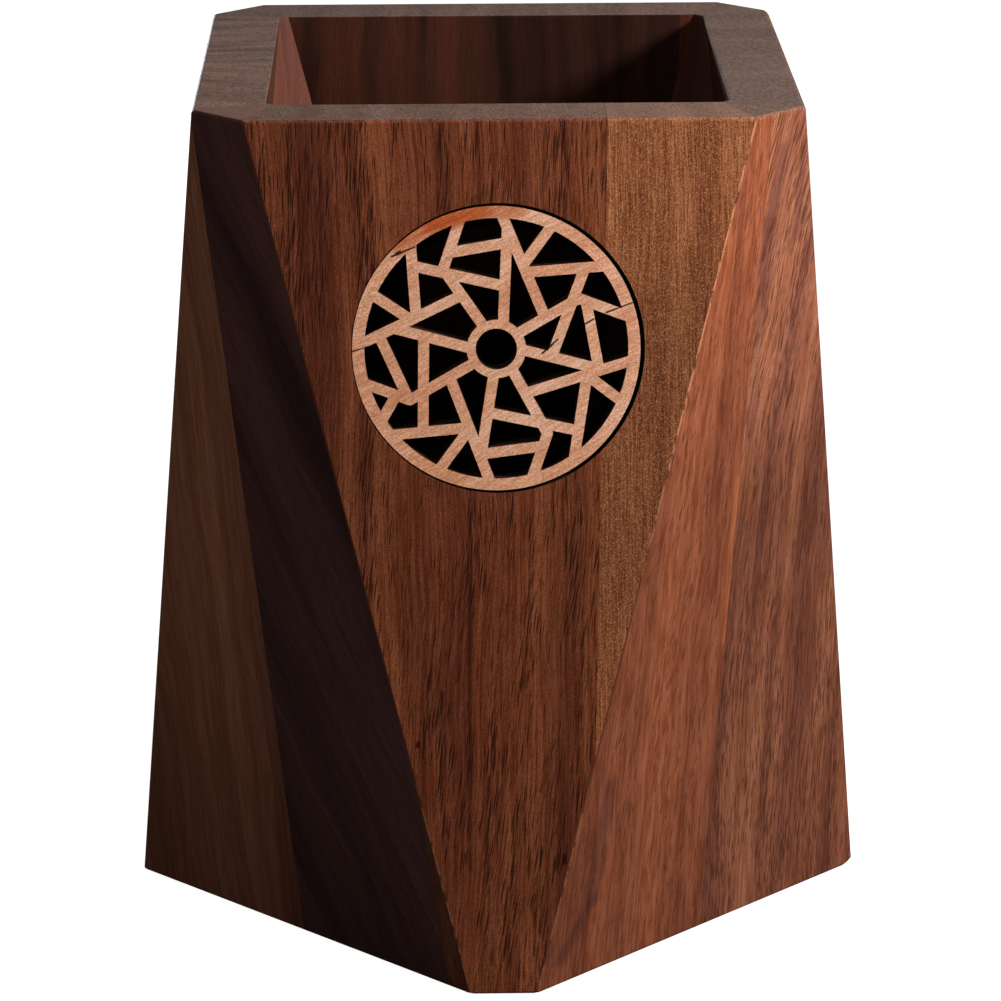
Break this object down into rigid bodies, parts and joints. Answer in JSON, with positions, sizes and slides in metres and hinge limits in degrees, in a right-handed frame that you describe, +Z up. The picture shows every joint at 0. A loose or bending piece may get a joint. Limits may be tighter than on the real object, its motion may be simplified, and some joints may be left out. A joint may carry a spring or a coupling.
{
  "type": "pen holder",
  "caption": "Wooden pen holder of mitred walnut boards, square at the mouth and turned 45 degrees at the foot, with a round lattice disc set in the front.",
  "frame": {"origin": "on the table, under the middle of the holder", "axes": "+Z up; the front board with the lattice disc faces -Y; +X to the right seen from the front"},
  "size_m": [0.0868, 0.0868, 0.1],
  "materials": {
    "brown_walnut": "oiled, satin",
    "golden_walnut": "oiled, satin",
    "red_walnut": "oiled, satin",
    "striped_walnut": "oiled, satin",
    "dark_walnut": "oiled, satin",
    "lattice_wood": "bare, matte"
  },
  "bodies": {
    "root": {"front_strip_1": "brown_walnut", "front_strip_2": "golden_walnut", "front_right_strip_1": "red_walnut", "front_right_strip_2": "striped_walnut", "right_strip_1": "brown_walnut", "right_strip_2": "golden_walnut", "back_right_strip_1": "striped_walnut", "back_right_strip_2": "brown_walnut", "back_strip_1": "golden_walnut", "back_strip_2": "striped_walnut", "back_strip_3": "brown_walnut", "back_left_strip_1": "brown_walnut", "back_left_strip_2": "red_walnut", "left_strip_1": "striped_walnut", "left_strip_2": "brown_walnut", "left_strip_3": "dark_walnut", "front_left_strip_1": "brown_walnut", "front_left_strip_2": "dark_walnut", "front_left_strip_3": "golden_walnut", "base_strip_1": "brown_walnut", "base_strip_2": "brown_walnut", "lattice_disc": "lattice_wood"}
  },
  "joints": []
}
